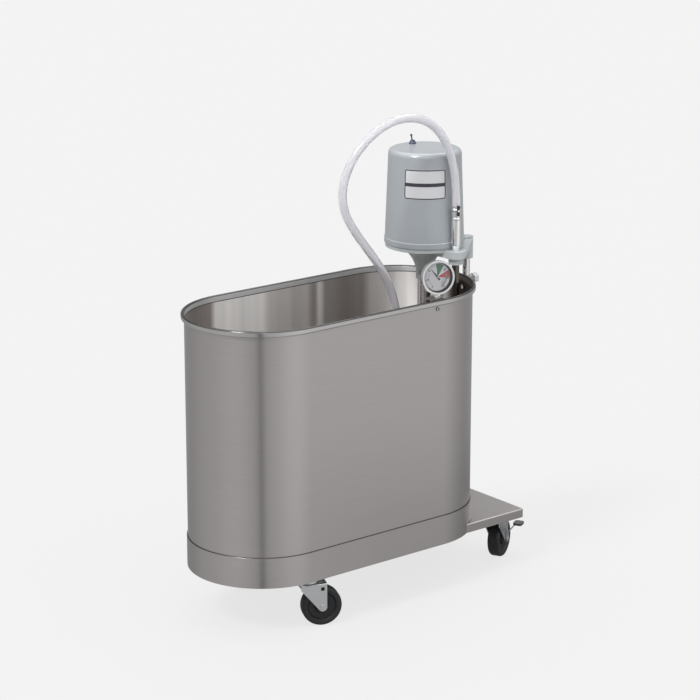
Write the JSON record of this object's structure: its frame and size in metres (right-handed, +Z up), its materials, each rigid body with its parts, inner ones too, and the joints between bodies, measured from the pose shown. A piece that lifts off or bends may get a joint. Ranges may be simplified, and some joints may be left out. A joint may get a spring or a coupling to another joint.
{
  "type": "hydrotherapy leg tub",
  "caption": "Deep stadium-plan stainless leg tub on swivel casters, with a post-mounted jet turbine, looped hose and dial thermometer.",
  "frame": {"origin": "under the middle of the footprint, at floor level, hose not counted", "axes": "+X towards the turbine end, +Y to the far side, away from the thermometer, +Z up"},
  "size_m": [0.9702, 0.394, 1.234],
  "materials": {
    "stainless_brushed": "satin, vertical polish bands",
    "stainless_sheet": "satin",
    "chrome_tube": "polished",
    "grey_enamel_can": "gloss enamel",
    "grey_enamel_casting": "gloss enamel on a casting",
    "zinc_plate": "zinc plated",
    "wheel_rubber": "moulded matt",
    "motor_iron": "dark varnish",
    "motor_aluminium": "cast",
    "bronze_bush": "machined",
    "grey_knob": "moulded",
    "clear_vinyl": "translucent vinyl",
    "dark_plastic": "moulded",
    "dial_glass": "clear",
    "dial_white": "satin white",
    "pointer_black": "satin black",
    "fan_plastic": "moulded"
  },
  "bodies": {
    "tub": {"tub_shell": "stainless_brushed", "skirt_band": "stainless_brushed", "platform_pan": "stainless_brushed", "chassis_frame": "stainless_sheet", "caster_bolts": "zinc_plate", "front_near_caster_plate": "zinc_plate", "front_far_caster_plate": "zinc_plate", "rear_near_caster_plate": "zinc_plate", "rear_far_caster_plate": "zinc_plate", "mast_bracket": "stainless_sheet", "bracket_bolts": "stainless_sheet", "thermometer_case": "chrome_tube", "thermometer_bezel": "chrome_tube", "thermometer_lens": "dial_glass", "thermometer_dial": "dial_white", "thermometer_stem": "chrome_tube", "thermometer_clip": "stainless_sheet", "clip_screw": "stainless_sheet"},
    "mast": {"mast_post": "chrome_tube", "mast_stop": "chrome_tube"},
    "turbine": {"turbine_casting": "grey_enamel_casting", "motor_can": "grey_enamel_can", "motor_frame": "motor_aluminium", "stator_core": "motor_iron", "end_bell": "motor_aluminium", "motor_bearings": "zinc_plate", "column_tube": "chrome_tube", "column_bush": "bronze_bush", "pump_housing": "grey_enamel_casting", "inlet_strainer": "fan_plastic", "jet_nozzle": "bronze_bush", "discharge_pipe": "chrome_tube", "riser_tube": "chrome_tube", "hose_ferrule": "chrome_tube", "hose": "clear_vinyl", "switch_body": "dark_plastic", "switch_boot": "dark_plastic", "cord_gland": "dark_plastic"},
    "motor_rotor": {"rotor_core": "motor_iron", "motor_shaft": "chrome_tube", "cooling_fan": "fan_plastic", "impeller": "bronze_bush"},
    "switch_toggle": {"switch_lever": "chrome_tube"},
    "knob": {"clamp_knob": "grey_knob"},
    "dial_hand": {"thermometer_pointer": "pointer_black"},
    "front_near_caster": {"front_near_caster_fork": "zinc_plate", "front_near_caster_axle": "zinc_plate"},
    "front_near_wheel": {"front_near_caster_wheel": "wheel_rubber"},
    "front_far_caster": {"front_far_caster_fork": "zinc_plate", "front_far_caster_axle": "zinc_plate"},
    "front_far_wheel": {"front_far_caster_wheel": "wheel_rubber"},
    "rear_near_caster": {"rear_near_caster_fork": "zinc_plate", "rear_near_caster_axle": "zinc_plate"},
    "rear_near_wheel": {"rear_near_caster_wheel": "wheel_rubber"},
    "rear_near_brake": {"rear_near_brake_lever": "zinc_plate"},
    "rear_far_caster": {"rear_far_caster_fork": "zinc_plate", "rear_far_caster_axle": "zinc_plate"},
    "rear_far_wheel": {"rear_far_caster_wheel": "wheel_rubber"},
    "rear_far_brake": {"rear_far_brake_lever": "zinc_plate"}
  },
  "joints": [
    {"name": "post_slide", "type": "slide", "parent": "tub", "child": "mast", "axis": [0, 0, 1], "range_m": [-0.025, 0.12]},
    {"name": "turbine_swivel", "type": "hinge", "parent": "mast", "child": "turbine", "pos_m": [0.37624, 0, 0.86], "axis": [0, 0, 1], "range_deg": [-30, 8]},
    {"name": "rotor_spin", "type": "hinge", "parent": "turbine", "child": "motor_rotor", "pos_m": [0.23224, 0, 0.878], "axis": [0, 0, 1], "continuous": true},
    {"name": "switch_throw", "type": "hinge", "parent": "turbine", "child": "switch_toggle", "pos_m": [0.24074, 0.0588, 1.12], "axis": [0, 1, 0], "range_deg": [0, 24]},
    {"name": "knob_turn", "type": "hinge", "parent": "tub", "child": "knob", "pos_m": [0.39674, 0, 0.7535], "axis": [1, 0, 0], "range_deg": [0, 180]},
    {"name": "dial_hand_turn", "type": "hinge", "parent": "tub", "child": "dial_hand", "pos_m": [0.12394, -0.1823, 0.833], "axis": [-0.3078, -0.9474, 0.0872], "range_deg": [-188, 112]},
    {"name": "front_near_swivel", "type": "hinge", "parent": "tub", "child": "front_near_caster", "pos_m": [-0.26436, -0.147, 0.1265], "axis": [0, 0, 1], "continuous": true},
    {"name": "front_near_roll", "type": "hinge", "parent": "front_near_caster", "child": "front_near_wheel", "pos_m": [-0.23354, -0.16137, 0.0508], "axis": [0.4226, 0.9063, 0], "continuous": true},
    {"name": "front_far_swivel", "type": "hinge", "parent": "tub", "child": "front_far_caster", "pos_m": [-0.26436, 0.147, 0.1265], "axis": [0, 0, 1], "continuous": true},
    {"name": "front_far_roll", "type": "hinge", "parent": "front_far_caster", "child": "front_far_wheel", "pos_m": [-0.23354, 0.16137, 0.0508], "axis": [-0.4226, 0.9063, 0], "continuous": true},
    {"name": "rear_near_swivel", "type": "hinge", "parent": "tub", "child": "rear_near_caster", "pos_m": [0.40524, -0.095, 0.1265], "axis": [0, 0, 1], "continuous": true},
    {"name": "rear_near_roll", "type": "hinge", "parent": "rear_near_caster", "child": "rear_near_wheel", "pos_m": [0.43526, -0.07904, 0.0508], "axis": [-0.4695, 0.8829, 0], "continuous": true},
    {"name": "rear_near_brake_swing", "type": "hinge", "parent": "rear_near_caster", "child": "rear_near_brake", "pos_m": [0.43526, -0.07904, 0.0508], "axis": [-0.4695, 0.8829, 0], "range_deg": [0, 25]},
    {"name": "rear_far_swivel", "type": "hinge", "parent": "tub", "child": "rear_far_caster", "pos_m": [0.40524, 0.095, 0.1265], "axis": [0, 0, 1], "continuous": true},
    {"name": "rear_far_roll", "type": "hinge", "parent": "rear_far_caster", "child": "rear_far_wheel", "pos_m": [0.42224, 0.12445, 0.0508], "axis": [-0.866, 0.5, 0], "continuous": true},
    {"name": "rear_far_brake_swing", "type": "hinge", "parent": "rear_far_caster", "child": "rear_far_brake", "pos_m": [0.42224, 0.12445, 0.0508], "axis": [-0.866, 0.5, 0], "range_deg": [0, 25]}
  ]
}
